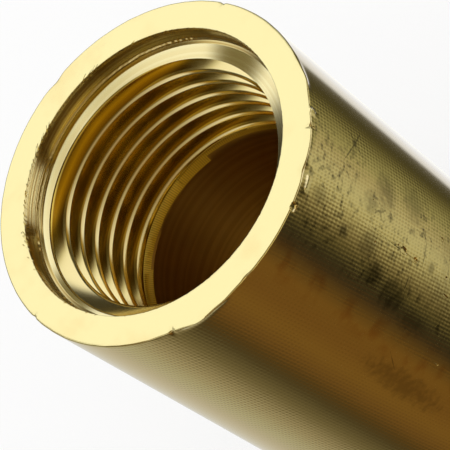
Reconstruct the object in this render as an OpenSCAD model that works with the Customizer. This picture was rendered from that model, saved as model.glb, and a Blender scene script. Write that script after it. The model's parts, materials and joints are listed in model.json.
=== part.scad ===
// Threaded pipe extension, turned from brass bar, standing on its spigot with its socket upwards.
// The socket has a parallel pipe thread of half an inch, and the spigot the same thread outside.
// All sizes are in millimetres. Depths are measured down from the mouth's face.

/* [Body] */
// Outer diameter of the plain body
body_d = 26.6; // [25.4:0.1:30]
// Length of the plain body, without the spigot
body_len = 50; // [45:1:100]
// Chamfer on the outer edge of the mouth
mouth_break = 0.15; // [0.05:0.05:0.4]
// Chamfer on the body's edge beside the spigot
shoulder_break = 0.5; // [0.1:0.1:1]

/* [Mouth] */
// Diameter of the plain recess ahead of the socket's thread
recess_d = 22.1; // [21.6:0.1:23]
// Depth of the recess at its wall
recess_depth = 1.8; // [1:0.1:2.5]
// Slope of the recess's floor towards the thread, in degrees
lead_in_slope = 18; // [10:1:40]

/* [Thread] */
// Pitch of both threads, 14 turns to the inch
pitch = 1.8143; // [1.8143]
// Diameter over the crests of a full outside thread
major_d = 20.955; // [20.955]
// Diameter over the roots of a full outside thread
minor_d = 18.631; // [18.631]
// Angle between the flanks
flank_angle = 55; // [55]
// Diameter of the socket's core hole, which leaves its crests flat
core_d = 19.15; // [19:0.05:19.15]
// Depth of the core hole
core_depth = 13.2; // [11:0.1:15]
// Depth of the middle of a full groove near the mouth, at the back
groove_start = 4.31; // [4:0.01:4.8]
// Taper of the tap's end, from the axis, in degrees
tap_taper = 30; // [20:1:40]

/* [Passage] */
// Diameter of the plain bore below the socket
bore_d = 18.6; // [17:0.1:18.6]
// Depth to which that bore runs
bore_depth = 40; // [24:1:41]
// Diameter of the passage through the spigot
passage_d = 15.5; // [13:0.1:16.4]
// Angle of the drill's point that ends the bore
drill_point = 118; // [90:1:140]

/* [Spigot] */
// Length of the spigot from the body's shoulder to its end
spigot_len = 12; // [10:0.5:16]
// Diameter over the spigot's crests
spigot_d = 20.85; // [20.7:0.01:20.9]
// Chamfer on the spigot's end
spigot_break = 1; // [0.5:0.1:1.3]
// Width of the run-out groove beside the shoulder
runout_w = 2.2; // [2.1:0.1:3]
// Diameter of the run-out groove
runout_d = 18.4; // [18.3:0.1:18.5]

/* [Hidden] */
$fn = 96;
brass = "#C9A54A";
// Flat steps that each turn of a helical groove is built from
turn_steps = 36;
// How far a cutting shape reaches past the face that it cuts
over = 0.3;
// Least depth of a tapped groove, at its very end
least_cut = 0.05;

total_h = body_len + spigot_len;
major_r = major_d / 2;
minor_r = minor_d / 2;
core_r = core_d / 2;
bore_r = bore_d / 2;
recess_r = recess_d / 2;
passage_r = passage_d / 2;
flank_slope = tan(flank_angle / 2);
pitch_r = (major_r + minor_r) / 2;
lead_in_end = recess_depth + (recess_r - core_r) * tan(lead_in_slope);
tap_end = core_depth + (core_r - bore_r) / tan(tap_taper);
bore_tip = bore_depth + (bore_r - passage_r) / tan(drill_point / 2);
runout_bottom = spigot_len - runout_w;
// Depth of the socket groove's middle at the +X side, a quarter turn from the back
groove_side = groove_start + pitch / 4;

// Half the width of a full groove at radius r: it narrows outwards in the socket
function socket_half_w(r) = pitch / 4 - (r - pitch_r) * flank_slope;
// The same on the spigot, where the groove narrows inwards
function spigot_half_w(r) = pitch / 4 + (r - pitch_r) * flank_slope;
// Radius that the tap reaches at a depth: full at first, then down its taper
function tapped_r(depth) = min(major_r, core_r + max(tap_end - depth, least_cut) * tan(tap_taper));

// Section of a groove as [radius, height] pairs, from its inner side to its outer side
function groove_section(inner_r, inner_half, outer_r, outer_half) =
  [[inner_r, -inner_half], [outer_r, -outer_half], [outer_r, outer_half], [inner_r, inner_half]];

// Joins sections, each [turn, height of its middle, section], along a right-hand helix
module helix_sweep(steps) {
  n = len(steps) - 1;
  points = [
    for (s = steps, p = s[2])
      [p[0] * cos(360 * s[0]), p[0] * sin(360 * s[0]), s[1] + p[1]]
  ];
  walls = [
    for (i = [0:n - 1], k = [0:3])
      let (a = i * 4 + k, b = i * 4 + (k + 1) % 4)
        each [[a, b, b + 4], [a, b + 4, a + 4]]
  ];
  first_cap = [3, 2, 1, 0];
  last_cap = [for (k = [0:3]) n * 4 + k];
  polyhedron(points = points, faces = concat([first_cap], walls, [last_cap]), convexity = 12);
}

// Outline of the solid body and spigot, turned about Z
module outer_profile() {
  polygon([
    [0, 0],
    [spigot_d / 2 - spigot_break, 0],
    [spigot_d / 2, spigot_break],
    [spigot_d / 2, runout_bottom],
    [runout_d / 2, runout_bottom],
    [runout_d / 2, spigot_len],
    [body_d / 2 - shoulder_break, spigot_len],
    [body_d / 2, spigot_len + shoulder_break],
    [body_d / 2, total_h - mouth_break],
    [body_d / 2 - mouth_break, total_h],
    [0, total_h]
  ]);
}

// Outline of the hollow: passage, bore, core hole, lead-in and recess
module inner_profile() {
  polygon([
    [0, -over],
    [passage_r, -over],
    [passage_r, total_h - bore_tip],
    [bore_r, total_h - bore_depth],
    [bore_r, total_h - tap_end],
    [core_r, total_h - core_depth],
    [core_r, total_h - lead_in_end],
    [recess_r, total_h - recess_depth],
    [recess_r, total_h + over],
    [0, total_h + over]
  ]);
}

// From the end of the tap's taper up into the recess
module socket_groove() {
  inner_r = core_r - over;
  inner_half = socket_half_w(inner_r);
  first = (groove_side - tap_end) / pitch;
  last = (groove_side - recess_depth) / pitch + 0.25;
  n = ceil((last - first) * turn_steps);
  helix_sweep([
    for (i = [0:n])
      let (
        turn = first + (last - first) * i / n,
        depth = groove_side - pitch * turn,
        outer_r = tapped_r(depth)
      )
        [turn, total_h - depth, groove_section(inner_r, inner_half, outer_r, socket_half_w(outer_r))]
  ]);
}

// From below the spigot's end up into its run-out groove
module spigot_groove() {
  outer_r = (spigot_d + over) / 2;
  section = groove_section(minor_r, spigot_half_w(minor_r), outer_r, spigot_half_w(outer_r));
  first = -0.6;
  last = (runout_bottom + runout_w / 2) / pitch;
  n = ceil((last - first) * turn_steps);
  helix_sweep([
    for (i = [0:n])
      let (turn = first + (last - first) * i / n)
        [turn, pitch * turn, section]
  ]);
}

module extension_body() {
  color(brass)
    difference() {
      rotate_extrude() outer_profile();
      rotate_extrude() inner_profile();
      socket_groove();
      spigot_groove();
    }
}

extension_body();
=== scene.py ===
import bpy
import json
import math
import random
from mathutils import Matrix, Quaternion, Vector, noise


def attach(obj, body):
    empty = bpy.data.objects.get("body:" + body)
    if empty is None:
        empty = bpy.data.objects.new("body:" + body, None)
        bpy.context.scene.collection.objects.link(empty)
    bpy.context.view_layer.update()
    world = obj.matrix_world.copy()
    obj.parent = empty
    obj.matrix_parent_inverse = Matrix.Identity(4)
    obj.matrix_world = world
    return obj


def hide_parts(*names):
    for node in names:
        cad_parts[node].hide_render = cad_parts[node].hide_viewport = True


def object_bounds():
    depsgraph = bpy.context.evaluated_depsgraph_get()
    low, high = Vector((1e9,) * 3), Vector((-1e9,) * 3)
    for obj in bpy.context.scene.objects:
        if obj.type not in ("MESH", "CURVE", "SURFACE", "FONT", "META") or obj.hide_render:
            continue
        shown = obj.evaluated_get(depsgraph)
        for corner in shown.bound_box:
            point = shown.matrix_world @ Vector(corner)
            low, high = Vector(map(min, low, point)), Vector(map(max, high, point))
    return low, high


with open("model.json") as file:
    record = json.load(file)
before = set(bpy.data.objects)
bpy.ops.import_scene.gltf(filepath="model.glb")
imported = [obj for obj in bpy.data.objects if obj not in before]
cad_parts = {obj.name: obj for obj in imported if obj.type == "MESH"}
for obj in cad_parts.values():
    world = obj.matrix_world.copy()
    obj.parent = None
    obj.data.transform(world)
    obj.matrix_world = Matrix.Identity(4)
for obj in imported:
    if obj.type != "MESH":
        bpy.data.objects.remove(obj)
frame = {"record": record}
cadLow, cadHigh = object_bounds()

# The tube is modelled in millimetres, because exact cuts fail on features of 0.01 mm written in
# metres, and it is brought to its real size when it is finished.
mm = 0.001
micrometre = 0.000001
outlineWeld, meshWeld = 0.001, 0.0005  # points closer than this, in millimetres, are merged

# What the CAD says, in millimetres
mounts = {m["name"]: m for m in frame["record"]["mounts"]}
topZ = round(cadHigh.z / mm, 4)
wallR = round(cadHigh.x / mm, 4)
crestR = mounts["socket_thread"]["dims"]["r_mm"]
spigotR = mounts["spigot_thread"]["dims"]["r_mm"]
passageR = mounts["passage"]["dims"]["r_mm"]
shoulderZ = mounts["shoulder_face"]["pos_m"][2] / mm


def hexLinear(code):
    values = [int(code[i:i + 2], 16) / 255 for i in (1, 3, 5)]
    linear = [v / 12.92 if v <= 0.04045 else ((v + 0.055) / 1.055) ** 2.4 for v in values]
    return (*linear, 1)


def tanOf(degrees):
    return math.tan(math.radians(degrees))


def around(turn, radius, height):  # turn is in degrees from the back (+Y), clockwise from above
    t = math.radians(turn)
    return Vector((radius * math.sin(t), radius * math.cos(t), height))


def turnOf(point):
    return math.degrees(math.atan2(point.x, point.y)) % 360


def turnGap(a, b):  # signed difference of two turns, from -180 to 180
    return (a - b + 180) % 360 - 180


def pick(piece):
    bpy.ops.object.select_all(action="DESELECT")
    bpy.context.view_layer.objects.active = piece
    piece.select_set(True)


def startPiece(addPrimitive, name, **settings):
    bpy.ops.object.select_all(action="DESELECT")
    addPrimitive(**settings)
    piece = bpy.context.object
    piece.name = name
    piece.data.name = name
    return piece


def applyModifier(piece, kind, **settings):
    pick(piece)
    modifier = piece.modifiers.new(kind.lower(), kind)
    for setting, value in settings.items():
        setattr(modifier, setting, value)
    bpy.ops.object.modifier_apply(modifier=modifier.name)


def cutWith(piece, tool):
    applyModifier(piece, "BOOLEAN", operation="DIFFERENCE", solver="EXACT", object=tool)
    bpy.data.objects.remove(tool)


def joinPieces(pieces):
    bpy.ops.object.select_all(action="DESELECT")
    for piece in pieces:
        piece.select_set(True)
    bpy.context.view_layer.objects.active = pieces[0]
    bpy.ops.object.join()
    return bpy.context.object


def drawOutline(name, points):  # a plane merged to one point, then extruded along the outline
    outline = startPiece(bpy.ops.mesh.primitive_plane_add, name, size=1)
    bpy.ops.object.mode_set(mode="EDIT")
    bpy.ops.mesh.select_mode(type="VERT")
    bpy.ops.mesh.merge(type="CENTER")
    at = Vector((0, 0, 0))
    for i, (radius, height) in enumerate(points + points[:1]):
        step = Vector((radius, 0, height)) - at
        if i == 0:
            bpy.ops.transform.translate(value=step)
        else:
            bpy.ops.mesh.extrude_region_move(TRANSFORM_OT_translate={"value": step})
        at += step
    bpy.ops.mesh.select_all(action="SELECT")
    bpy.ops.mesh.remove_doubles(threshold=outlineWeld)
    bpy.ops.object.mode_set(mode="OBJECT")
    return outline


# Camera, at the photo's angle: above the mouth on the near side, rolled so that the tube leans over

cameraSet = dict(
    above=106.017, away=103.079,  # mm above the mouth's face, and in front of the tube's axis
    aimX=-0.156, aimY=-8.944,  # the point that it looks at, in the plane of the mouth's face
    roll=-55.117, lens=167.684, clipStart=0.01, clipEnd=10,
)

bpy.ops.object.camera_add(location=(0, -cameraSet["away"] * mm, (topZ + cameraSet["above"]) * mm))
camera = bpy.context.object
aim = Vector((cameraSet["aimX"], cameraSet["aimY"], topZ)) * mm - camera.location
camera.rotation_mode = "QUATERNION"
rollTurn = Quaternion((0, 0, 1), math.radians(cameraSet["roll"]))
camera.rotation_quaternion = aim.to_track_quat("-Z", "Y") @ rollTurn
camera.data.lens = cameraSet["lens"]
camera.data.clip_start = cameraSet["clipStart"]
camera.data.clip_end = cameraSet["clipEnd"]
bpy.context.scene.camera = camera
bpy.context.scene.view_settings.view_transform = "Standard"
print("camera placed")

# The tube's section and threads, in millimetres and degrees, with depths measured down from the mouth

tube = dict(
    spinSteps=720, smoothAngle=35,
    # mouth: its rounded edges, the ring and the top of the wall with their edge loops
    mouthEdge=0.12, recessEdge=0.06,
    ringCuts=(11.25, 11.45, 11.9, 12.3, 12.6, 12.8, 12.95, 13.06),
    wallCuts=(0.3, 0.5, 0.8, 1.2, 1.8, 2.6, 4, 22, 42),
    # recess: a small sloping ledge round its foot, the steeper foot below that, and the lead-in
    recessR=11.05, recessCut=0.5, ledgeDepth=1.5, ledgeWide=0.09, ledgeRise=0.05, ledgeDrop=0.04,
    footDepth=1.715, footR=10.72, footSlope=30, leadInSlope=18.4,
    # both threads
    pitch=1.8143, flank=27.5, majorR=10.4775, minorR=9.3155, rootRound=0.249, screwSteps=240,
    cutterReach=0.3,  # how far a cutter goes past the face that it cuts
    # socket's thread: full crests, worn from one radius to slope into the hole
    grooveDepth=4.31,  # middle of a full groove at the back
    threadR=9.28, crestFlat=0.045, cutterBite=0.01, cutterLean=(0.06, 0.005),
    worn=9.43, wornSlope=40, wornTop=0.09,
    wornFlank=0.07,  # keeps the shading of the slope off the flank
    socketTurns=8, turnsBelow=6, lastCrest=12.62, crestLift=0.02,
    # end of the tap: the cone of its first teeth, and the band that they left below the last crest
    coreDepth=13.2, tapTaper=30, tapCore=0.1, bandR=9.8, bandTop=13.36,
    bandRim=((-0.01, -0.08), (0.03, -0.03), (0, 0)),  # radius and height, from the band's top
    bandFoot=(0.02, 0.03), bandClear=0.6,
    # bore, and the passage through the spigot
    boreR=9.3, boreDepth=40, boreCut=20, drillPoint=118, passageEdge=0.25,
    # shoulder, run-out groove and spigot
    shoulderEdge=0.5, runoutR=9.2, runoutWide=2.2, runoutCorner=0.2,
    spigotEdge=1, spigotNose=0.05, spigotLip=0.1, spigotTurns=7, crestRound=0.12, crestBite=0.015,
)

pitchR = (tube["majorR"] + tube["minorR"]) / 2
footWide = tube["recessR"] - tube["ledgeWide"] - tube["footR"]
footEnd = tube["footDepth"] + footWide * tanOf(tube["footSlope"])
leadInEnd = footEnd + (tube["footR"] - tube["threadR"]) * tanOf(tube["leadInSlope"])
tapEnd = tube["coreDepth"] + (crestR - tube["boreR"]) / tanOf(tube["tapTaper"])
boreTip = tube["boreDepth"] + (tube["boreR"] - passageR) / tanOf(tube["drillPoint"] / 2)
runoutLow = shoulderZ - tube["runoutWide"]


def arc(centre, radius, fromTurn, toTurn, steps):  # points of an arc in the outline's plane
    turns = [math.radians(fromTurn + (toTurn - fromTurn) * i / steps) for i in range(steps + 1)]
    return [(centre[0] + radius * math.cos(t), centre[1] + radius * math.sin(t)) for t in turns]


def tubeOutline():  # once round the wall's section, from the mouth's inner edge outwards
    edge, low, inner = tube["mouthEdge"], tube["shoulderEdge"], tube["recessEdge"]
    recessR, boreR, bandR, runoutR = tube["recessR"], tube["boreR"], tube["bandR"], tube["runoutR"]
    corner, lip, nose = tube["runoutCorner"], tube["spigotLip"], tube["spigotNose"]
    ledgeR, ledgeZ = recessR - tube["ledgeWide"], topZ - tube["ledgeDepth"]
    tapZ, bandZ, crestZ = topZ - tapEnd, topZ - tube["bandTop"], topZ - tube["lastCrest"]
    # ring and wall
    points = arc((recessR + inner, topZ - inner), inner, 180, 90, 2)
    points += [(r, topZ) for r in tube["ringCuts"]]
    points += arc((wallR - edge, topZ - edge), edge, 90, 0, 4)
    points += [(wallR, topZ - d) for d in tube["wallCuts"]]
    points += arc((wallR - low, shoulderZ + low), low, 0, -90, 4)
    # run-out groove and spigot
    points += [(runoutR + corner, shoulderZ), (runoutR, shoulderZ - corner)]
    points += [(runoutR, runoutLow + corner), (runoutR + corner, runoutLow)]
    points += arc((spigotR - lip, runoutLow - lip), lip, 90, 0, 2)
    points += [(spigotR, tube["spigotEdge"]), (spigotR - tube["spigotEdge"] + nose, nose)]
    points += [(spigotR - tube["spigotEdge"] - nose, 0)]
    # passage and bore
    points += [(passageR + tube["passageEdge"], 0), (passageR, tube["passageEdge"])]
    points += [(passageR, topZ - boreTip), (boreR, topZ - tube["boreDepth"])]
    points += [(boreR, topZ - tube["boreCut"]), (boreR, tapZ - tube["bandClear"]), (boreR, tapZ)]
    # band, crests, lead-in and recess
    points += [(boreR + tube["bandFoot"][0], tapZ + tube["bandFoot"][1])]
    points += [(bandR + out, bandZ + up) for out, up in tube["bandRim"]]
    points += [(bandR, crestZ), (tube["threadR"], crestZ + tube["crestLift"])]
    points += [(tube["threadR"], topZ - leadInEnd), (tube["footR"], topZ - footEnd)]
    points += [(ledgeR, topZ - tube["footDepth"]), (ledgeR, ledgeZ - tube["ledgeDrop"])]
    points += [(recessR, ledgeZ + tube["ledgeRise"]), (recessR, topZ - tube["recessCut"])]
    return points


def socketSection():  # the tap's groove, with the worn slope of the crest below it
    root, turn = tube["majorR"] - tube["rootRound"], 90 - tube["flank"]
    lip, worn, beside = tube["threadR"] - tube["cutterBite"], tube["worn"], tube["wornFlank"]
    inside = lip - tube["cutterReach"]
    lowLean, highLean = tube["cutterLean"]
    wornZ = (worn - pitchR) * tanOf(tube["flank"]) - tube["pitch"] / 4
    lipZ = wornZ - (worn - lip) / tanOf(tube["wornSlope"])
    topEdge = lipZ + tube["pitch"] - tube["crestFlat"]
    points = [(inside, lipZ + lowLean), (lip, lipZ), (worn, wornZ)]
    points += [(worn + beside, wornZ + beside * tanOf(tube["flank"]))]
    points += [(root + x, z) for x, z in arc((0, 0), tube["rootRound"], -turn, turn, 5)]
    points += [(worn, topEdge - tube["wornTop"]), (lip, topEdge), (inside, topEdge + highLean)]
    return points


def spigotSection():  # the die's groove, with rounded crests beside it
    q, turn = tube["crestRound"], 90 - tube["flank"]
    nose, outside = spigotR - q + tube["crestBite"], spigotR + tube["cutterReach"]
    slant = q / math.cos(math.radians(tube["flank"]))
    noseZ = tube["pitch"] / 4 + (nose - pitchR) * tanOf(tube["flank"]) + slant
    bottom = tube["minorR"] + tube["rootRound"]
    low = [(nose + x, z - noseZ) for x, z in arc((0, 0), q, 0, turn, 2)]
    floorArc = [(bottom - x, z) for x, z in arc((0, 0), tube["rootRound"], -turn, turn, 3)]
    high = [(r, -z) for r, z in reversed(low)]
    return [(outside, -noseZ)] + low + floorArc + high + [(outside, noseZ)]


def helicalCutter(name, section, middle, turns):
    cutter = drawOutline(name, [(r, middle + z) for r, z in section])
    applyModifier(cutter, "SCREW", axis="Z", angle=2 * math.pi, screw_offset=tube["pitch"],
                  iterations=turns, steps=tube["screwSteps"], render_steps=tube["screwSteps"])
    bpy.ops.object.mode_set(mode="EDIT")
    bpy.ops.mesh.select_all(action="SELECT")
    bpy.ops.mesh.remove_doubles(threshold=meshWeld)
    bpy.ops.mesh.select_all(action="DESELECT")
    bpy.ops.mesh.select_non_manifold(extend=False)
    bpy.ops.mesh.edge_face_add()
    bpy.ops.mesh.select_all(action="SELECT")
    bpy.ops.mesh.normals_make_consistent(inside=False)
    bpy.ops.object.mode_set(mode="OBJECT")
    return cutter


def socketCutter():
    middle = topZ - tube["grooveDepth"] - tube["pitch"] / 4 - tube["turnsBelow"] * tube["pitch"]
    cutter = helicalCutter("tap", socketSection(), middle, tube["socketTurns"])
    for vertex in cutter.data.vertices:  # the tap's end is tapered
        radius = math.hypot(vertex.co.x, vertex.co.y)
        allowed = crestR + (tapEnd - (topZ - vertex.co.z)) * tanOf(tube["tapTaper"])
        allowed = max(allowed, tube["boreR"] - tube["tapCore"])
        if radius > allowed:
            vertex.co.xy *= allowed / radius
    return cutter


def spigotCutter():
    return helicalCutter("die", spigotSection(), -tube["pitch"], tube["spigotTurns"])


# Marks where the tap stopped, with a crack in the band. Lengths in mm, turns in degrees
tapMarks = dict(
    flutes=4, stop=3.3,  # one of the tap's flutes stopped at this turn
    lift=0.2, footNear=(0.03, 0.04),  # the points moved lie this near the band's foot, in radius and depth
    sweep=100, crestNear=(0.01, 0.03),  # how far the last crest's end follows its helix to either side
    crack=(0.06, 0.7, 0.72), crackDepth=0.35,  # the crack's size, and its depth below the core hole's end
)

# Damage on the rim's outer edge: where, how wide (degrees), and how far it stands out or in (mm)
rimDamage = dict(
    edgeR=13.2, reach=0.3,  # it fades with the distance from the edge
    fromR=12.2, toDepth=1.5, waviness=0.024, waves=dict(scale=0.25, row=(0, 7)),
    bumps=[
        dict(turn=6, wide=3, out=-0.13, drop=0.03), dict(turn=75, wide=0.9, out=-0.1, drop=0.04),
        dict(turn=123, wide=4, out=0.13, drop=0.02), dict(turn=134, wide=0.8, out=0.14, drop=-0.02),
        dict(turn=143, wide=6, out=0.1, drop=0.03), dict(turn=139.4, wide=0.5, out=-0.14, drop=0.05),
        dict(turn=153.5, wide=2.4, out=-0.14, drop=0.05), dict(turn=189.5, wide=1.4, out=-0.1, drop=0.04),
        dict(turn=200, wide=5, out=0.14, drop=0.01), dict(turn=208.5, wide=5, out=0.34, drop=0.02),
        dict(turn=217.6, wide=0.8, out=-0.14, drop=0.05), dict(turn=274, wide=0.8, out=-0.1, drop=0.04),
    ],
    # flakes that hang on the wall just below the edge
    flakes=[dict(turn=157, wide=3, depth=0.55, out=0.16), dict(turn=134.5, wide=1, depth=0.4, out=0.12)],
    flakeTop=0.1, flakeHigh=0.2,  # they begin below this depth, and are this high
    # the recess's edge and its ledge are ragged
    edgeNear=0.1, edgeRagged=0.05, edgeWaves=dict(scale=0.7, row=(3, 0)),
    ledgeNear=0.06, ledgeRagged=0.05,
    ledgeWaves=[dict(scale=0.6, row=(0, 0)), dict(scale=0.15, row=(9, 0))],
)

# Thin burrs that the recess's edge left on the ring, with the turns that they lie between and their number
burrSet = dict(
    groups=[dict(span=(12, 21), count=4, reach=0.5), dict(span=(37, 39), count=1, reach=0.5),
            dict(span=(286, 294), count=4, reach=0.5), dict(span=(298, 306), count=6, reach=0.65),
            dict(span=(308, 337), count=12, reach=0.22), dict(span=(338, 342), count=2, reach=0.75),
            dict(span=(343, 352), count=4, reach=0.4), dict(span=(231, 271), count=4, reach=0.18)],
    slant=24, wide=0.045, deep=0.12, seed=5,
    past=0.2, sink=0.02,  # how much longer than its reach a slit is, and how far inside the edge it starts
    # what each burr varies by: its place in its share of the span, its reach, slant and thickness
    placeSpread=(0.2, 0.8), reachSpread=(0.5, 1.1), slantSpread=(-8, 12), wideSpread=(0.6, 1.4),
)

# Small pits on the side that the photo shows: turn, depth below the mouth, and size
pitSet = dict(
    places=[
        dict(turn=165, depth=0.2, wide=0.75, high=0.75, deep=0.2),
        dict(turn=154.7, depth=13.9, wide=0.6, high=1.0, deep=0.10),
        dict(turn=154.8, depth=15.7, wide=0.4, high=0.6, deep=0.16),
        dict(turn=154.4, depth=13.1, wide=0.2, high=0.3, deep=0.06),
        dict(turn=158.6, depth=10.2, wide=0.25, high=0.3, deep=0.07),
        dict(turn=142.2, depth=19, wide=0.4, high=0.4, deep=0.08),
        dict(turn=153.2, depth=20.3, wide=0.3, high=0.3, deep=0.06),
        dict(turn=158.6, depth=20.8, wide=0.25, high=0.9, deep=0.08),
        dict(turn=147, depth=8.9, wide=0.2, high=0.2, deep=0.05),
        dict(turn=178.4, depth=23.7, wide=0.14, high=0.3, deep=0.05),
        dict(turn=139.4, depth=0.45, wide=0.25, high=0.35, deep=0.06),
    ],
    lumpiness=0.25, lumpScale=1.7, seed=4,
    noiseReach=50,  # each pit takes its lumps from its own place in the noise
)


def unevenAt(turn, waves):
    return noise.noise(Vector((turn * waves["scale"], *waves["row"])))


def stopTapMarks(body):  # each flute of the tap ends a quarter pitch further down than the last
    footR, footHigh = tube["boreR"] + tapMarks["footNear"][0], tapMarks["footNear"][1]
    crestOut, crestHigh = tube["bandR"] + tapMarks["crestNear"][0], tapMarks["crestNear"][1]
    sweep = tapMarks["sweep"]
    for vertex in body.data.vertices:
        radius, depth = math.hypot(vertex.co.x, vertex.co.y), topZ - vertex.co.z
        if radius < footR and abs(depth - tapEnd) < footHigh:
            past = (turnOf(vertex.co) - tapMarks["stop"]) % (360 / tapMarks["flutes"])
            vertex.co.z -= past * tube["pitch"] / 360 - tapMarks["lift"]
        elif radius < crestOut and abs(depth - tube["lastCrest"]) < crestHigh:
            along = max(-sweep, min(sweep, turnGap(turnOf(vertex.co), 0)))
            vertex.co.z -= along * tube["pitch"] / 360


def damageRim(body):
    for vertex in body.data.vertices:
        point = vertex.co
        radius, depth = math.hypot(point.x, point.y), topZ - point.z
        turn = turnOf(point)
        if radius > rimDamage["fromR"] and depth < rimDamage["toDepth"]:
            away = math.hypot(radius - rimDamage["edgeR"], depth)
            near = math.exp(-(away / rimDamage["reach"]) ** 2)
            out = rimDamage["waviness"] * unevenAt(turn, rimDamage["waves"]) * near
            drop = 0
            for bump in rimDamage["bumps"]:
                share = math.exp(-(turnGap(turn, bump["turn"]) / bump["wide"]) ** 2) * near
                out += bump["out"] * share
                drop += bump["drop"] * share
            if depth > rimDamage["flakeTop"]:
                for flake in rimDamage["flakes"]:
                    share = math.exp(-(turnGap(turn, flake["turn"]) / flake["wide"]) ** 4)
                    high = (depth - flake["depth"]) / rimDamage["flakeHigh"]
                    out += flake["out"] * share * math.exp(-high ** 2)
            vertex.co = around(turn, radius + out, point.z - drop)
        elif radius < tube["recessR"] + rimDamage["edgeNear"] and depth < rimDamage["edgeNear"]:
            torn = rimDamage["edgeRagged"] * max(0, unevenAt(turn, rimDamage["edgeWaves"]))
            vertex.co = around(turn, radius + torn, point.z)
        elif (tube["recessR"] - rimDamage["edgeNear"] < radius
              and abs(depth - tube["ledgeDepth"]) < rimDamage["ledgeNear"]):
            torn = sum(unevenAt(turn, waves) for waves in rimDamage["ledgeWaves"])
            vertex.co = around(turn, radius, point.z + rimDamage["ledgeRagged"] * torn)


def burrCutter():  # thin slanted slits in the ring, each from the recess's edge outwards
    random.seed(burrSet["seed"])
    slits = []
    for group in burrSet["groups"]:
        for i in range(group["count"]):
            first, last = group["span"]
            place = i + random.uniform(*burrSet["placeSpread"])
            turn = first + (last - first) * place / group["count"]
            reach = group["reach"] * random.uniform(*burrSet["reachSpread"])
            slant = burrSet["slant"] + random.uniform(*burrSet["slantSpread"])
            wide = burrSet["wide"] * random.uniform(*burrSet["wideSpread"])
            slit = startPiece(bpy.ops.mesh.primitive_cube_add, "slit", size=1)
            size = Matrix.Diagonal((reach + burrSet["past"], wide, burrSet["deep"] * 2, 1))
            start = Matrix.Translation((reach / 2, 0, 0))
            turned = Matrix.Rotation(math.radians(slant - turn), 4, "Z")
            spot = Matrix.Translation(around(turn, tube["recessR"] - burrSet["sink"], topZ))
            slit.data.transform(spot @ turned @ start @ size)
            slits.append(slit)
    crack = startPiece(bpy.ops.mesh.primitive_cube_add, "crack", size=1)  # where the tap stopped
    crackZ = topZ - (tube["coreDepth"] + tapMarks["crackDepth"])
    turned = Matrix.Rotation(math.radians(-tapMarks["stop"]), 4, "Z")
    spot = Matrix.Translation(around(tapMarks["stop"], crestR, crackZ))
    crack.data.transform(spot @ turned @ Matrix.Diagonal((*tapMarks["crack"], 1)))
    return joinPieces(slits + [crack])


def pitCutter():  # lumpy flattened balls half sunk into the wall
    random.seed(pitSet["seed"])
    reach = pitSet["noiseReach"]
    balls = []
    for place in pitSet["places"]:
        ball = startPiece(bpy.ops.mesh.primitive_ico_sphere_add, "ball", subdivisions=3, radius=1)
        shift = Vector([random.uniform(-reach, reach) for axis in range(3)])
        for vertex in ball.data.vertices:
            vertex.co *= 1 + pitSet["lumpiness"] * noise.noise(vertex.co * pitSet["lumpScale"] + shift)
        turned = Matrix.Rotation(math.radians(-place["turn"]), 4, "Z")
        size = Matrix.Diagonal((place["wide"] / 2, place["deep"], place["high"] / 2, 1))
        spot = around(place["turn"], wallR, topZ - place["depth"])
        ball.data.transform(Matrix.Translation(spot) @ turned @ size)
        balls.append(ball)
    return joinPieces(balls)


# Finishes in the order of their slots, each a material that is named for how its face was made
finishes = ["facedBrass", "turnedBrass", "boredBrass", "formCutBrass",
            "tappedBrass", "tapEndBrass", "drilledBrass", "dieCutBrass"]

# Where one finish ends and the next begins, in mm from the outline's own corners
borders = dict(
    shoulder=0.1, wall=0.6, wallTop=0.06, ringInner=0.02, ringLow=0.5,
    leadInLow=0.02, leadInUp=0.94,  # and how far up the lead-in's faces look
    bandTop=0.02, bandLow=0.3, boreOut=0.001,
)


def finishOf(face):  # which tool made this face
    radius, depth = math.hypot(face.center.x, face.center.y), topZ - face.center.z
    if depth > topZ - shoulderZ - borders["shoulder"]:
        return "dieCutBrass"
    if radius > wallR - borders["wall"] and depth > borders["wallTop"]:
        return "turnedBrass"
    if radius > tube["recessR"] + borders["ringInner"] and depth < borders["ringLow"]:
        return "facedBrass"
    if depth < footEnd:
        return "boredBrass"
    if depth < leadInEnd + borders["leadInLow"] and face.normal.z > borders["leadInUp"]:
        return "formCutBrass"
    if depth < tube["bandTop"] - borders["bandTop"]:
        return "tappedBrass"
    if depth < tapEnd + borders["bandLow"] and radius > tube["boreR"] + borders["boreOut"]:
        return "tapEndBrass"
    return "drilledBrass"


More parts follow.
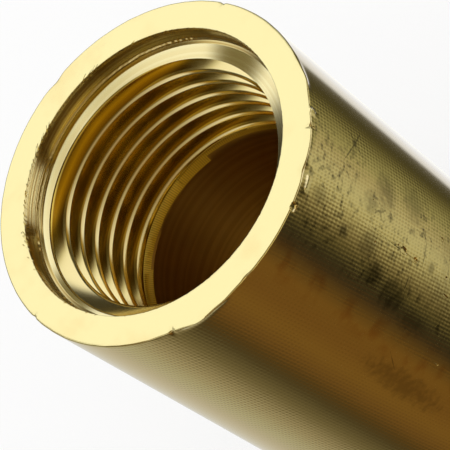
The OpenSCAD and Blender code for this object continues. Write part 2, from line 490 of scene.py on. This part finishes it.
def makeBody():
    body = drawOutline("brassTube", tubeOutline())
    bpy.ops.object.mode_set(mode="EDIT")
    bpy.ops.mesh.select_all(action="SELECT")
    bpy.ops.mesh.spin(steps=tube["spinSteps"], angle=2 * math.pi, center=(0, 0, 0), axis=(0, 0, 1))
    bpy.ops.mesh.select_all(action="SELECT")
    bpy.ops.mesh.remove_doubles(threshold=meshWeld)
    bpy.ops.mesh.normals_make_consistent(inside=False)
    bpy.ops.object.mode_set(mode="OBJECT")
    stopTapMarks(body)
    damageRim(body)
    print("tube turned,", len(body.data.polygons), "faces")
    cutWith(body, socketCutter())
    print("socket tapped,", len(body.data.polygons), "faces")
    cutWith(body, spigotCutter())
    print("spigot cut,", len(body.data.polygons), "faces")
    cutWith(body, pitCutter())
    cutWith(body, burrCutter())
    print("pits and burrs cut,", len(body.data.polygons), "faces")
    body.data.materials.clear()
    for name in finishes:
        body.data.materials.append(bpy.data.materials.new(name))
    for face in body.data.polygons:
        face.material_index = finishes.index(finishOf(face))
    body.data.transform(Matrix.Scale(mm, 4))
    pick(body)
    body.active_material_index = finishes.index("formCutBrass")  # stays sharp where the thread runs into it
    bpy.ops.object.mode_set(mode="EDIT")
    bpy.ops.mesh.select_mode(type="FACE")
    bpy.ops.mesh.select_all(action="DESELECT")
    bpy.ops.object.material_slot_select()
    bpy.ops.mesh.region_to_loop()
    bpy.ops.mesh.mark_sharp()
    bpy.ops.object.mode_set(mode="OBJECT")
    bpy.ops.object.shade_smooth_by_angle(angle=math.radians(tube["smoothAngle"]), keep_sharp_edges=True)
    return body


body = makeBody()
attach(body, "root")
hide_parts("extension_body")


# Materials: all are one cast of brass, and differ by the tool that cut the face, by what lies on it, and in
# the socket and bore by painted shade and light.
# Marks that are finer than a pixel, as those of a fine cut are, are drawn as coarse as they need to show.

smooth = dict(interpolation_type="SMOOTHSTEP")
colourMix = dict(data_type="RGBA", output=2)  # sockets 6 and 7 of such a node are its two colours
acrossLines = 0.25  # of a turn, so that a highlight spreads across the lines that the tool left


def addNode(tree, kind, inputs=(), output=0, stops=(), **settings):
    # inputs are given in the order of the sockets, or in a dictionary by socket; "#" starts a hex colour
    made = tree.nodes.new("ShaderNode" + kind)
    for setting, value in settings.items():
        setattr(made, setting, value)
    for socket, value in inputs.items() if isinstance(inputs, dict) else enumerate(inputs):
        if isinstance(value, bpy.types.NodeSocket):
            tree.links.new(value, made.inputs[socket])
        else:
            made.inputs[socket].default_value = hexLinear(value) if isinstance(value, str) else value
    for i, (at, tone) in enumerate(stops):
        stop = made.color_ramp.elements[i] if i < 2 else made.color_ramp.elements.new(at)
        stop.position = at
        stop.color = hexLinear(tone)
    return made if output is None else made.outputs[output]


def placeOnTube(tree):  # the point in millimetres, and its radius, its turn in radians and its depth
    point = addNode(tree, "TexCoord", output="Object")
    point = addNode(tree, "VectorMath", {0: point, "Scale": 1 / mm}, operation="SCALE")
    x, y, z = addNode(tree, "SeparateXYZ", [point], output=None).outputs
    squares = [addNode(tree, "Math", [part, part], operation="MULTIPLY") for part in (x, y)]
    radius = addNode(tree, "Math", [addNode(tree, "Math", squares, operation="ADD")], operation="SQRT")
    turn = addNode(tree, "Math", [x, y], operation="ARCTAN2")
    depth = addNode(tree, "Math", [topZ, z], operation="SUBTRACT")
    return dict(point=point, radius=radius, turn=turn, depth=depth)


def patches(tree, spot, size, edges, amounts=(0.0, 1.0), detail=3.0):  # soft patches, of this size in mm
    made = addNode(tree, "TexNoise", {"Vector": spot["point"], "Scale": 1 / size, "Detail": detail})
    return addNode(tree, "MapRange", [made, *edges, *amounts], **smooth)


def toolMarks(tree, along, finish):  # uneven lines, about one gap apart, and their height
    marks = addNode(tree, "TexNoise", {"W": along, "Scale": 1 / finish["gap"], "Detail": 2.0},
                    noise_dimensions="1D")
    return marks, addNode(tree, "Math", [marks, finish["high"]], operation="MULTIPLY")


def sineWaves(tree, along, perUnit, shift=0.0):
    phase = addNode(tree, "Math", [along, perUnit, shift], operation="MULTIPLY_ADD")
    return addNode(tree, "Math", [phase], operation="SINE")


def spanOf(tree, value, start, full, last, end, amount=1.0):  # rises from start, and falls to nothing at end
    rise = addNode(tree, "MapRange", [value, start, full, 0.0, 1.0], **smooth)
    fall = addNode(tree, "MapRange", [value, last, end, amount, 0.0], **smooth)
    return addNode(tree, "Math", [rise, fall], operation="MULTIPLY")


def tonesAlong(tree, value, tones):  # each tone at its value, with even blends between them
    low, high = tones[0][0], tones[-1][0]
    share = addNode(tree, "MapRange", [value, low, high])
    return addNode(tree, "ValToRGB", [share], stops=[((at - low) / (high - low), tone) for at, tone in tones])


def makeBrass(name, finish, paint):  # paint gives the colour, and the height in micrometres
    material = bpy.data.materials[name]
    material.use_nodes = True
    tree = material.node_tree
    tree.nodes.clear()
    colour, height = paint(tree, placeOnTube(tree), finish)
    bump = addNode(tree, "Bump", {"Height": height, "Distance": micrometre, "Strength": 1.0})
    tangent = addNode(tree, "Tangent", direction_type="RADIAL", axis="Z")
    shader = addNode(tree, "BsdfPrincipled", {
        "Base Color": colour, "Metallic": 1, "Roughness": finish["roughness"],
        "Anisotropic": finish["anisotropy"], "Anisotropic Rotation": acrossLines,
        "Tangent": tangent, "Normal": bump})
    addNode(tree, "OutputMaterial", {"Surface": shader}, output=None)


# Faced brass, the ring: the lathe's last fine cut, bright and even, with faint patches of warmer tarnish
ringFinish = dict(clean="#F5E9AC", warm="#F4E2A4", roughness=0.16, anisotropy=0.3, gap=0.09, high=0.5,
                  warmSize=3.5, warmEdges=(0.5, 0.72))


def paintRing(tree, spot, finish):
    warmth = patches(tree, spot, finish["warmSize"], finish["warmEdges"])
    colour = addNode(tree, "Mix", {0: warmth, 6: finish["clean"], 7: finish["warm"]}, **colourMix)
    return colour, toolMarks(tree, spot["radius"], finish)[1]


# Turned brass, the outer wall: feed lines and the lathe's chatter across them, handled and lightly stained,
# which gives a fine grid that blurs its mirror. Turns here go from -180 to 180
wallFinish = dict(
    clean="#F4E3AC", warm="#C98A4A", dark="#33291A", roughness=0.1, anisotropy=0.7,
    feed=0.427, feedHigh=3.0, chatter=298, chatterLean=2.2, chatterHigh=3.0,  # feed in mm, marks in a turn
    grainSize=0.3, grainDetail=3, grainHigh=12.0, unevenSize=3, unevenEdges=(0.3, 0.7),
    unevenShare=(0.45, 1.0),
    markedLeast=0.06,
    markedSpans=[  # turns where the marks begin, are full, start to fade and end, and how high
        (122, 130, 168, 178, 1.0), (-146, -138, -124, -114, 0.8),
        (-180, -170, -140, -130, 0.4), (176, 180, 180, 181, 0.4)],
    darkerHollowEdges=(0.0, -1.7), darkerHollowAmount=0.3,  # in the grid's hollows
    handledSpan=(128, 142, 168, 176),  # turns of the side with most small spots
    spotSize=0.55, spotDetail=3, spotEdges=(0.47, 0.7), spotDark=0.6, groupSize=2.5, groupEdges=(0.36, 0.6),
    # the warm mottles are tarnish, held to the strip that faces the camera as a painted warm reflection
    warmSize=1.8, warmDetail=4, warmEdges=(0.45, 0.75), warmShare=0.5, warmAndReflectionSpan=(172, 178, 190, 200),
    stainRough=2.2, stainEdges=(2.3, 0.9),
    stains=[  # turn, depth, and half sizes in mm round and along the wall, and how dark
        dict(turn=154, depth=18, wide=0.7, high=0.6, dark=0.5),
        dict(turn=167, depth=11.5, wide=1.1, high=1.5, dark=0.8),
        dict(turn=161.8, depth=6.2, wide=0.6, high=0.7, dark=0.7),
        dict(turn=133, depth=6.1, wide=0.5, high=0.4, dark=0.9),
        dict(turn=133.8, depth=6.0, wide=0.16, high=1.5, slant=-1.25, dark=0.8),
        dict(turn=133, depth=6.2, wide=0.14, high=1.0, slant=0.9, dark=0.75),
        dict(turn=151, depth=16.75, wide=1.5, high=0.07, dark=0.8),
        dict(turn=163.5, depth=15.5, wide=0.9, high=0.1, dark=0.7),
        dict(turn=-170, depth=22, wide=1.2, high=6.5, dark=0.35),
        dict(turn=-174, depth=19, wide=0.07, high=1.3, slant=0.5, dark=0.5),
        dict(turn=141, depth=10.5, wide=1.6, high=1.6, dark=0.55),
        dict(turn=148, depth=8.6, wide=1.0, high=1.0, dark=0.5),
        dict(turn=169, depth=14.5, wide=1.3, high=2.0, dark=0.65),
        dict(turn=138, depth=14.5, wide=1.6, high=2.0, dark=0.45),
        dict(turn=157, depth=2.5, wide=0.8, high=1.0, dark=0.4),
        dict(turn=160, depth=9.5, wide=1.2, high=1.5, dark=0.5),
        dict(turn=172, depth=18, wide=1.0, high=2.5, dark=0.4),
        dict(turn=158, depth=24, wide=2.5, high=8.0, dark=0.45),
        dict(turn=145, depth=26, wide=3.0, high=9.0, dark=0.4),
    ],
)


def stainSpread(tree, degrees, depth, stain):  # 0 in the stain's middle, 1 at the end of its half sizes
    perDegree = math.radians(wallR) / stain["wide"]
    across = addNode(tree, "Math", [degrees, stain["turn"]], operation="SUBTRACT")
    across = addNode(tree, "Math", [across, perDegree], operation="MULTIPLY")
    along = addNode(tree, "Math", [depth, stain["depth"]], operation="SUBTRACT")
    along = addNode(tree, "Math", [along, stain["high"]], operation="DIVIDE")
    if "slant" in stain:  # a scratch that leans round the wall as it goes down
        lean = -stain["slant"] * stain["high"] / stain["wide"]
        across = addNode(tree, "Math", [along, lean, across], operation="MULTIPLY_ADD")
    squares = [addNode(tree, "Math", [part, 2.0], operation="POWER") for part in (across, along)]
    return addNode(tree, "Math", squares, operation="ADD")


def paintWall(tree, spot, finish):
    turn, depth = spot["turn"], spot["depth"]
    degrees = addNode(tree, "Math", [turn], operation="DEGREES")
    # grid of feed lines and chatter, with a fine grain, higher at some turns and in some patches
    feed = sineWaves(tree, depth, 2 * math.pi / finish["feed"])
    lean = addNode(tree, "Math", [depth, finish["chatterLean"]], operation="MULTIPLY")
    chatter = sineWaves(tree, turn, finish["chatter"], lean)
    marked = finish["markedLeast"]
    for span in finish["markedSpans"]:
        marked = addNode(tree, "Math", [marked, spanOf(tree, degrees, *span)], operation="MAXIMUM")
    uneven = patches(tree, spot, finish["unevenSize"], finish["unevenEdges"], finish["unevenShare"])
    grain = addNode(tree, "TexNoise", {
        "Vector": spot["point"], "Scale": 1 / finish["grainSize"], "Detail": finish["grainDetail"]})
    height = addNode(tree, "Math", [feed, finish["feedHigh"]], operation="MULTIPLY")
    height = addNode(tree, "Math", [chatter, finish["chatterHigh"], height], operation="MULTIPLY_ADD")
    height = addNode(tree, "Math", [grain, finish["grainHigh"], height], operation="MULTIPLY_ADD")
    height = addNode(tree, "Math", [height, uneven], operation="MULTIPLY")
    height = addNode(tree, "Math", [height, marked], operation="MULTIPLY")
    # dark spots where it was handled, darker hollows in the grid, and stains
    rough = addNode(tree, "TexNoise", {
        "Vector": spot["point"], "Scale": 1 / finish["spotSize"], "Detail": finish["spotDetail"]})
    spots = addNode(tree, "MapRange", [rough, *finish["spotEdges"], 0.0, finish["spotDark"]], **smooth)
    groups = patches(tree, spot, finish["groupSize"], finish["groupEdges"])
    spots = addNode(tree, "Math", [spots, groups], operation="MULTIPLY")
    # darker in the grid's hollows, where feed lines and chatter meet low
    darkerHollows = addNode(tree, "Math", [feed, chatter], operation="ADD")
    darkerHollows = addNode(tree, "MapRange", [darkerHollows, *finish["darkerHollowEdges"], 0.0, finish["darkerHollowAmount"]], **smooth)
    darkerHollows = addNode(tree, "Math", [darkerHollows, marked], operation="MULTIPLY")
    darkerHollows = addNode(tree, "Math", [darkerHollows, uneven], operation="MULTIPLY")
    handled = spanOf(tree, degrees, *finish["handledSpan"])
    shade = addNode(tree, "Math", [handled, spots, darkerHollows], operation="MULTIPLY_ADD")
    for stain in finish["stains"]:
        spread = stainSpread(tree, degrees, depth, stain)
        spread = addNode(tree, "Math", [rough, finish["stainRough"], spread], operation="MULTIPLY_ADD")
        dark = addNode(tree, "MapRange", [spread, *finish["stainEdges"], 0.0, stain["dark"]], **smooth)
        shade = addNode(tree, "Math", [shade, dark], operation="MAXIMUM")
    # warm tarnish mottles along the near side (-Y), kept to the strip that faces the camera, where they also
    # add a painted warm reflection
    warmth = patches(tree, spot, finish["warmSize"], finish["warmEdges"], (0.0, finish["warmShare"]),
                     finish["warmDetail"])
    facing = addNode(tree, "Math", [degrees], operation="ABSOLUTE")
    warmth = addNode(tree, "Math", [warmth, spanOf(tree, facing, *finish["warmAndReflectionSpan"])], operation="MULTIPLY")
    tone = addNode(tree, "Mix", {0: warmth, 6: finish["clean"], 7: finish["warm"]}, **colourMix)
    return addNode(tree, "Mix", {0: shade, 6: tone, 7: finish["dark"]}, **colourMix), height


# Bored brass, the recess: cut with a pointed tool, so its fine lines spread the light up and down.
# Between the turns of torn the tool left steps that look upwards, tornGap mm apart
recessFinish = dict(clean="#EFDFA4", dull="#C9AE68", roughness=0.2, anisotropy=0.8, gap=0.16, high=2.0,
                    torn=(-56, -44, -30, -14), tornGap=0.21, tornSlope=0.56, tornUneven=0.35)

# Form-cut brass, the lead-in: bright, with a few scored rings
leadInFinish = dict(clean="#F5E9B4", dull="#EFE0A8", roughness=0.13, anisotropy=0.5, gap=0.12, high=0.3)

# Drilled brass, the bore: left as the drill made it, smooth, with faint rings; its brown is painted shade of
# the deep bore
boreFinish = dict(clean="#D2A85C", dull="#C49A4E", roughness=0.5, anisotropy=0.3, gap=0.6, high=0.3)

# Die-cut brass, the spigot: a clean cut with fine lines along the thread
spigotFinish = dict(clean="#F1E0A4", dull="#D8BE7C", roughness=0.24, anisotropy=0.6, gap=0.12, high=1.0)

lineEdges = (0.35, 0.65)  # share of a line's height at which it starts to shine, and where it shines fully


def paintLined(tree, spot, finish):
    marks, height = toolMarks(tree, spot["depth"], finish)
    bright = addNode(tree, "MapRange", [marks, *lineEdges, 0.0, 1.0], **smooth)
    colour = addNode(tree, "Mix", {0: bright, 6: finish["dull"], 7: finish["clean"]}, **colourMix)
    if "torn" in finish:
        stepHigh = finish["tornGap"] * finish["tornSlope"] * mm / micrometre
        steps = addNode(tree, "Math", [spot["depth"], finish["tornGap"]], operation="DIVIDE")
        steps = addNode(tree, "Math", [marks, finish["tornUneven"], steps], operation="MULTIPLY_ADD")
        steps = addNode(tree, "Math", [steps], operation="FRACT")
        steps = addNode(tree, "Math", [steps, stepHigh], operation="MULTIPLY")
        degrees = addNode(tree, "Math", [spot["turn"]], operation="DEGREES")
        torn = spanOf(tree, degrees, *finish["torn"])
        height = addNode(tree, "Math", [torn, steps, height], operation="MULTIPLY_ADD")
    return colour, height


# Tapped brass, the socket's thread: clean on its crests, and brown down its flanks with cutting oil and
# painted shade at the back:
# the dark tone just below each crest is painted shade and the yellow mid-flank tone a painted reflection. The
# tones are given by radius, and lie deeper from the back to the sides
threadFinish = dict(
    clean="#F4E4A8", roughness=0.13, anisotropy=0.5, gap=0.14, high=0.25,
    # cutting oil with painted shade and a painted warm reflection, held at the back only, where the flanks
    # look dark
    oiledAndShadedSpan=(-62, -50, 50, 60), deeperSpan=(18, 44), deeper=0.2,
    oilAndShade=[(9.42, "#F4E4A8"), (9.49, "#A08034"), (9.72, "#C4A244"), (9.95, "#F6D65E"),
         (10.2, "#E6C65C"), (10.4, "#D0B458")],
)


def paintThread(tree, spot, finish):
    degrees = addNode(tree, "Math", [spot["turn"]], operation="DEGREES")
    aside = addNode(tree, "Math", [degrees], operation="ABSOLUTE")
    deeper = addNode(tree, "MapRange", [aside, *finish["deeperSpan"], 0.0, finish["deeper"]], **smooth)
    level = addNode(tree, "Math", [spot["radius"], deeper], operation="SUBTRACT")
    # tones by radius: oil, with painted shade below each crest and a painted warm reflection mid-flank
    oilAndShade = tonesAlong(tree, level, finish["oilAndShade"])
    oiledAndShaded = spanOf(tree, degrees, *finish["oiledAndShadedSpan"])
    colour = addNode(tree, "Mix", {0: oiledAndShaded, 6: finish["clean"], 7: oilAndShade}, **colourMix)
    return colour, toolMarks(tree, spot["depth"], finish)[1]


# Brass cut by the tap's first teeth, the band below the thread: yellow, with the ticks that they left. Its
# bright, saturated yellow is partly painted light, raised to stand for the warm light that reaches it deep in
# the tube
bandFinish = dict(clean="#FCDC64", dark="#7A5A1C", roughness=0.4, anisotropy=0.2,
                  ticks=327, tickDark=0.35, high=3.0)


def paintBand(tree, spot, finish):
    ticks = sineWaves(tree, spot["turn"], finish["ticks"])
    shade = addNode(tree, "MapRange", [ticks, -1, 1, 0.0, finish["tickDark"]], **smooth)
    # the clean tone here carries painted light as well as the brass
    colour = addNode(tree, "Mix", {0: shade, 6: finish["clean"], 7: finish["dark"]}, **colourMix)
    return colour, addNode(tree, "Math", [ticks, finish["high"]], operation="MULTIPLY")


makeBrass("facedBrass", ringFinish, paintRing)
makeBrass("turnedBrass", wallFinish, paintWall)
makeBrass("boredBrass", recessFinish, paintLined)
makeBrass("formCutBrass", leadInFinish, paintLined)
makeBrass("tappedBrass", threadFinish, paintThread)
makeBrass("tapEndBrass", bandFinish, paintBand)
makeBrass("drilledBrass", boreFinish, paintLined)
makeBrass("dieCutBrass", spigotFinish, paintLined)
print("brass finished")

# Studio: pale floor, soft light all round, and what the bright metal mirrors

floorSet = dict(size=6, colour="#FDFDFD", lift=0.35)  # lift is the share of plain white that the camera sees


def makeFloor():
    floor = startPiece(bpy.ops.mesh.primitive_plane_add, "floor", size=floorSet["size"])
    floorPaint = bpy.data.materials.new("floorPaint")
    floorPaint.use_nodes = True
    tree = floorPaint.node_tree
    tree.nodes.clear()
    paint = addNode(tree, "BsdfDiffuse", {"Color": floorSet["colour"]})
    white = addNode(tree, "Emission", {"Color": "#FFFFFF"})
    seen = addNode(tree, "LightPath", output="Is Camera Ray")
    lift = addNode(tree, "Math", [seen, floorSet["lift"]], operation="MULTIPLY")
    both = addNode(tree, "MixShader", [lift, paint, white])
    addNode(tree, "OutputMaterial", {"Surface": both}, output=None)
    floor.data.materials.append(floorPaint)
    floor.visible_glossy = False
    return floor


floor = makeFloor()

# Tones that the metal mirrors. Azimuths are in degrees from +Y, clockwise from above
studio = dict(
    glossStrength=1.12,
    horizon=(-0.05, 0.05),  # heights of the direction between which the ground goes over into the sky
    ground=[  # below the horizon, by azimuth
        (0, "#D8D8D4"), (8, "#FFFFFF"), (18, "#F8FCFF"), (26, "#EAEEFF"), (42, "#D8DAE8"), (46, "#5A564A"),
        (58, "#423E2A"), (64, "#484329"), (74, "#686340"), (91, "#95926B"), (99, "#A49B7B"),
        (116, "#B6B496"), (124, "#B0AB88"), (133, "#918A68"), (141, "#71674A"), (150, "#524B30"),
        (160, "#343022"), (168, "#3A2F20"), (177, "#584322"), (186, "#6A4E24"), (201, "#694C24"),
        (215, "#705428"), (227, "#644A26"), (237, "#4E3D21"), (245, "#48402C"), (260, "#686048"),
        (278, "#948C77"), (294, "#A6A593"), (311, "#B3AEA3"), (332, "#C6C4BE"), (346, "#D2D2D0"),
        (360, "#D8D8D4"),
    ],
    # sky, by the direction's Y from the near side (-1) to the far side (1), less a share of its X
    skyLean=0.35,
    sky=[
        (-1, "#4C4022"), (-0.45, "#5A4820"), (-0.24, "#96761A"), (-0.16, "#8C7430"), (-0.1, "#40341A"),
        (0.0, "#443A1C"), (0.07, "#5A4E30"), (0.12, "#CCC6AA"), (0.16, "#F4F2EA"), (0.3, "#FAF9F6"),
        (0.6, "#FFFFFF"), (1, "#FFFFFF"),
    ],
    # dark gap between two lamps, by how closely a direction agrees with this one or its mirror in X
    gapTowards=(0.385, 0.65, 0.655), gapFades=(0.982, 0.998), gapTone="#6E6440",
    # near side's lower sky, by the size of the direction's X. It ends at an elevation and at a Y
    lowFades=(46, 54), lowNear=(0.05, -0.1),
    low=[
        (0, "#9E8A6F"), (0.29, "#A2927A"), (0.57, "#B4AA95"), (0.785, "#DCD6CC"), (0.92, "#F8F4EC"),
        (1, "#FFFFFF"),
    ],
    # just above the horizon, by azimuth: dark all round, but for one bright screen
    skirtFades=(23, 29),
    skirt=[
        (0, "#302C22"), (60, "#3C382A"), (84, "#5A5340"), (94, "#A09C90"), (102, "#E0E2E8"),
        (110, "#FFFFFF"), (124, "#FFFFFF"), (140, "#D2D2D2"), (152, "#C0B494"), (168, "#E0D09C"),
        (186, "#E6D6A0"), (200, "#B0A274"), (214, "#766B50"), (244, "#6A644C"), (280, "#5A5340"),
        (310, "#3C382A"), (360, "#302C22"),
    ],
)


def buildWorld():
    world = bpy.data.worlds.new("studioWorld")
    bpy.context.scene.world = world
    world.use_nodes = True
    world.cycles.sampling_method = "NONE"
    tree = world.node_tree
    tree.nodes.clear()
    direction = addNode(tree, "TexCoord", output="Generated")
    x, y, z = addNode(tree, "SeparateXYZ", [direction], output=None).outputs
    aside = addNode(tree, "Math", [x], operation="ABSOLUTE")
    turn = addNode(tree, "Math", [x, y], operation="ARCTAN2")
    turn = addNode(tree, "Math", [turn, 2 * math.pi], operation="DIVIDE")
    turn = addNode(tree, "Math", [turn], operation="FRACT")
    azimuth = addNode(tree, "Math", [turn, 360.0], operation="MULTIPLY")
    elevation = addNode(tree, "Math", [z], operation="ARCSINE")
    elevation = addNode(tree, "Math", [elevation], operation="DEGREES")
    # sky, with the gap between its lamps
    across = addNode(tree, "Math", [aside, -studio["skyLean"], y], operation="MULTIPLY_ADD")
    sky = tonesAlong(tree, across, studio["sky"])
    folded = addNode(tree, "CombineXYZ", [aside, y, z])
    facing = addNode(tree, "VectorMath", [folded, studio["gapTowards"]], output="Value",
                     operation="DOT_PRODUCT")
    share = addNode(tree, "MapRange", [facing, *studio["gapFades"], 0.0, 1.0], **smooth)
    sky = addNode(tree, "Mix", {0: share, 6: sky, 7: studio["gapTone"]}, **colourMix)
    # its lower part on the near side
    share = addNode(tree, "MapRange", [elevation, *studio["lowFades"], 1.0, 0.0], **smooth)
    near = addNode(tree, "MapRange", [y, *studio["lowNear"], 0.0, 1.0], **smooth)
    share = addNode(tree, "Math", [share, near], operation="MULTIPLY")
    sky = addNode(tree, "Mix", {0: share, 6: sky, 7: tonesAlong(tree, aside, studio["low"])}, **colourMix)
    # skirt above the horizon, and the ground below it
    share = addNode(tree, "MapRange", [elevation, *studio["skirtFades"], 1.0, 0.0], **smooth)
    sky = addNode(tree, "Mix", {0: share, 6: sky, 7: tonesAlong(tree, azimuth, studio["skirt"])}, **colourMix)
    share = addNode(tree, "MapRange", [z, *studio["horizon"], 0.0, 1.0], **smooth)
    ground = tonesAlong(tree, azimuth, studio["ground"])
    mirrored = addNode(tree, "Mix", {0: share, 6: ground, 7: sky}, **colourMix)
    # only glossy rays meet these tones, and all others a plain white
    glossy = addNode(tree, "LightPath", output="Is Glossy Ray")
    tone = addNode(tree, "Mix", {0: glossy, 6: "#FFFFFF", 7: mirrored}, **colourMix)
    strength = addNode(tree, "Math", [glossy, studio["glossStrength"] - 1, 1.0], operation="MULTIPLY_ADD")
    light = addNode(tree, "Background", {"Color": tone, "Strength": strength})
    addNode(tree, "OutputWorld", {"Surface": light}, output=None)


buildWorld()
print("studio ready")
